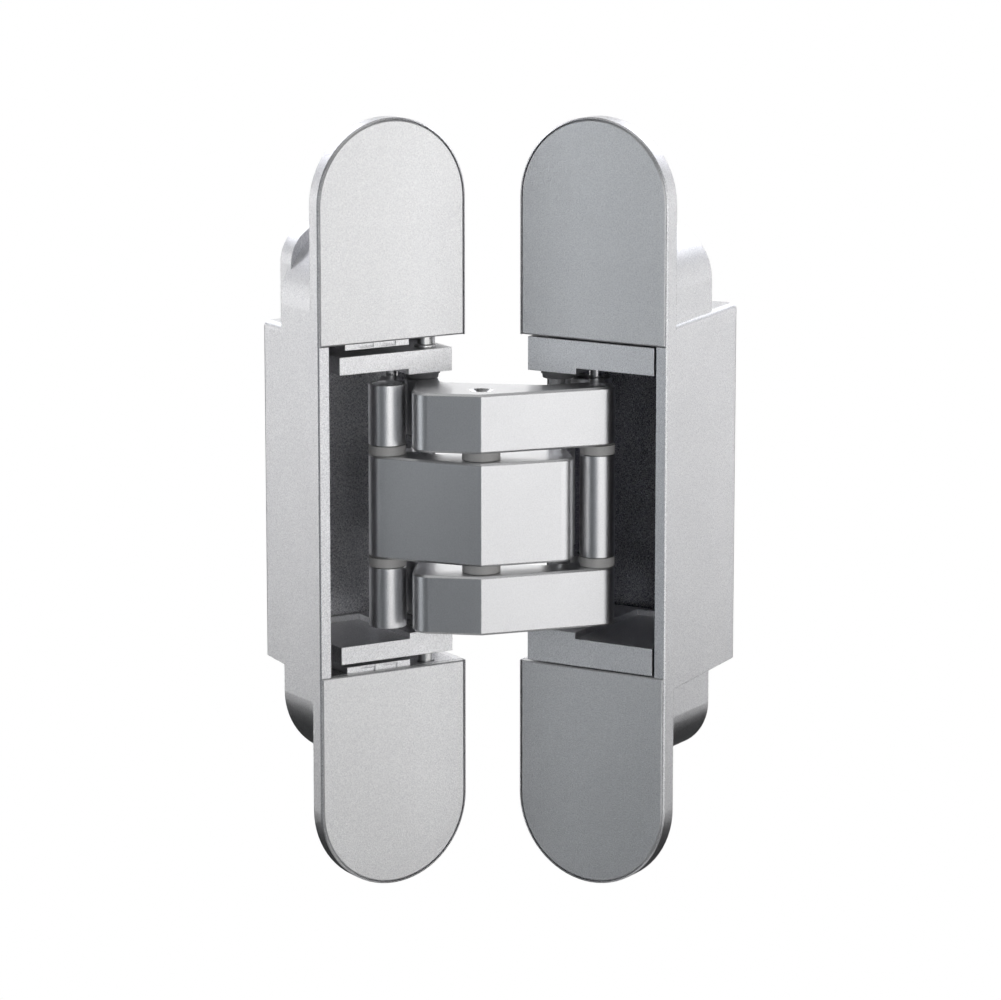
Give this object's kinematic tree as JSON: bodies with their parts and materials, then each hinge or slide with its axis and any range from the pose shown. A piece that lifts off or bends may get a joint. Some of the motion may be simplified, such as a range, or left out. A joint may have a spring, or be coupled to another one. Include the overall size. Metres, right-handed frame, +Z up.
{
  "type": "concealed door hinge",
  "caption": "Concealed door hinge with two pocketed leaves, covered fixing bosses and a crossed arm linkage.",
  "frame": {"origin": "middle of the left plate's back, the plane that seats in the frame, halfway up", "axes": "+Z up along the pivot axes, -Y out of the left leaf's face, +X from the left leaf towards the right leaf"},
  "size_m": [0.0598, 0.0413, 0.11],
  "materials": {
    "cast_body": "satin chrome on zinc casting",
    "cap_satin": "satin chrome",
    "arm_satin": "satin chrome",
    "carrier_satin": "satin chrome",
    "pin_steel": "ground steel",
    "screw_steel": "zinc plated",
    "bush_plastic": "filled nylon",
    "washer_grey": "filled nylon"
  },
  "bodies": {
    "left_leaf": {"left_body": "cast_body", "left_cap_lower": "cap_satin", "left_cap_upper": "cap_satin", "left_clamp_screw_lower": "screw_steel", "left_clamp_screw_upper": "screw_steel", "left_index_block_lower": "carrier_satin", "left_index_block_upper": "carrier_satin"},
    "left_carrier": {"left_carrier_lower": "carrier_satin", "left_carrier_upper": "carrier_satin", "left_height_screw_lower": "screw_steel", "left_height_screw_upper": "screw_steel", "left_link_pin": "pin_steel", "left_pivot_bush_lower": "bush_plastic", "left_pivot_bush_upper": "bush_plastic", "left_pivot_pin_lower": "pin_steel", "left_pivot_pin_upper": "pin_steel"},
    "outer_arms": {"centre_pin": "pin_steel", "centre_washer_lower": "washer_grey", "centre_washer_upper": "washer_grey", "outer_arm_lower": "arm_satin", "outer_arm_upper": "arm_satin", "right_knuckle_pin": "pin_steel", "right_knuckle_washer_lower": "washer_grey", "right_knuckle_washer_upper": "washer_grey"},
    "middle_arm": {"left_knuckle_pin": "pin_steel", "left_knuckle_washer_lower": "washer_grey", "left_knuckle_washer_upper": "washer_grey", "middle_arm": "arm_satin"},
    "right_carrier": {"right_carrier_lower": "carrier_satin", "right_carrier_upper": "carrier_satin", "right_link_pin": "pin_steel", "right_pivot_bush_lower": "bush_plastic", "right_pivot_bush_upper": "bush_plastic", "right_pivot_pin": "pin_steel", "right_pivot_sleeve_lower": "pin_steel", "right_pivot_sleeve_upper": "pin_steel"},
    "right_leaf": {"right_body": "cast_body", "right_cap_lower": "cap_satin", "right_cap_upper": "cap_satin", "right_clamp_screw_lower": "screw_steel", "right_clamp_screw_upper": "screw_steel", "right_index_block_lower": "carrier_satin", "right_index_block_upper": "carrier_satin"},
    "left_link": {"left_link": "arm_satin"},
    "right_link": {"right_link": "arm_satin"}
  },
  "joints": [
    {"name": "height_slide", "type": "slide", "parent": "left_leaf", "child": "left_carrier", "axis": [0, 0, 1], "range_m": [-0.0007, 0.0007]},
    {"name": "arm_swing", "type": "hinge", "parent": "left_carrier", "child": "outer_arms", "pos_m": [0.0075, 0.00245, 0], "axis": [0, 0, 1], "range_deg": [-69.62, 36.58]},
    {"name": "centre_pivot", "type": "hinge", "parent": "outer_arms", "child": "middle_arm", "pos_m": [0.00915, -0.01115, 0], "axis": [0, 0, 1], "range_deg": [-11.48, 21.84]},
    {"name": "right_root", "type": "hinge", "parent": "middle_arm", "child": "right_carrier", "pos_m": [0.02411, -0.00759, 0], "axis": [0, 0, 1], "range_deg": [-70.22, 36.9]},
    {"name": "left_link_pivot", "type": "hinge", "parent": "middle_arm", "child": "left_link", "pos_m": [-0.00002, -0.00062, 0], "axis": [0, 0, 1], "range_deg": [-28.33, 14.89]},
    {"name": "right_link_pivot", "type": "hinge", "parent": "outer_arms", "child": "right_link", "pos_m": [0.02547, -0.01576, 0], "axis": [0, 0, 1], "range_deg": [-13.96, 26.56]},
    {"name": "depth_slide", "type": "slide", "parent": "right_carrier", "child": "right_leaf", "axis": [0.8829, 0.4695, 0], "range_m": [-0.001, 0.001]}
  ],
  "couplings": [
    {"joint": "centre_pivot", "follows": "arm_swing", "ratio": -0.31356},
    {"joint": "right_root", "follows": "arm_swing", "ratio": 1.0085},
    {"joint": "left_link_pivot", "follows": "arm_swing", "ratio": 0.40678},
    {"joint": "right_link_pivot", "follows": "arm_swing", "ratio": -0.38136}
  ]
}
